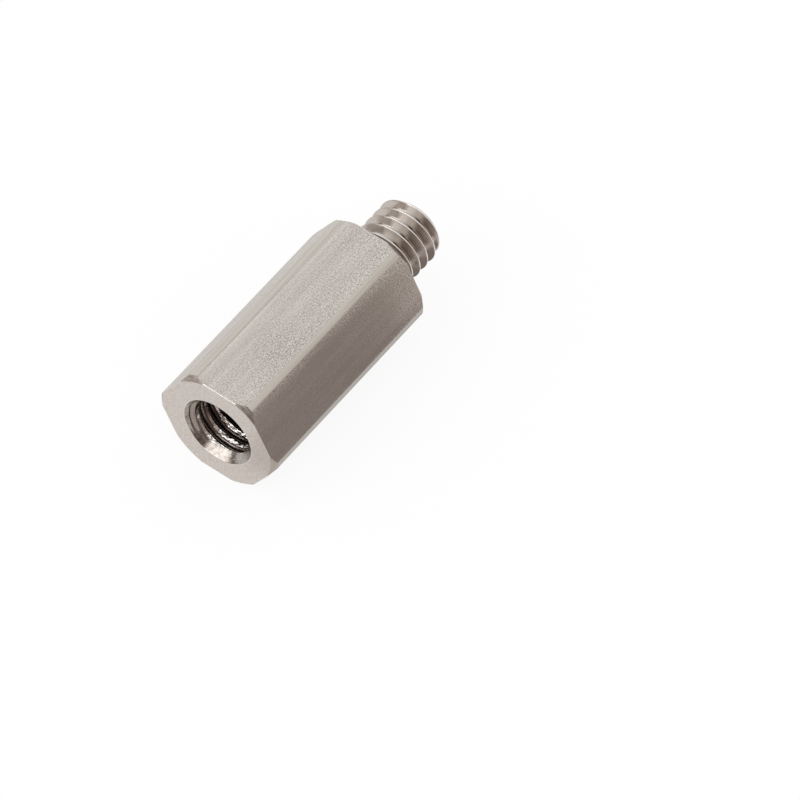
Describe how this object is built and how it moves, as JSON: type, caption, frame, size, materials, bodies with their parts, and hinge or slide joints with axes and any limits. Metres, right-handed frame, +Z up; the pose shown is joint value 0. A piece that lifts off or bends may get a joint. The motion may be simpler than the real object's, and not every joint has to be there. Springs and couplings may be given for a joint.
{
  "type": "hex standoff",
  "caption": "Hex standoff with a countersunk tapped hole in one end and a short threaded stud on the other.",
  "frame": {"origin": "on the resting surface, under the middle of the whole length", "axes": "+X along the bar from the tapped end towards the stud, +Z up, the standoff lies on one of its flats"},
  "size_m": [0.013, 0.0056, 0.005],
  "materials": {
    "steel": "satin stainless steel: drawn bar skin on the flats, turned end faces, bright threads"
  },
  "bodies": {
    "root": {"standoff": "steel"}
  },
  "joints": []
}
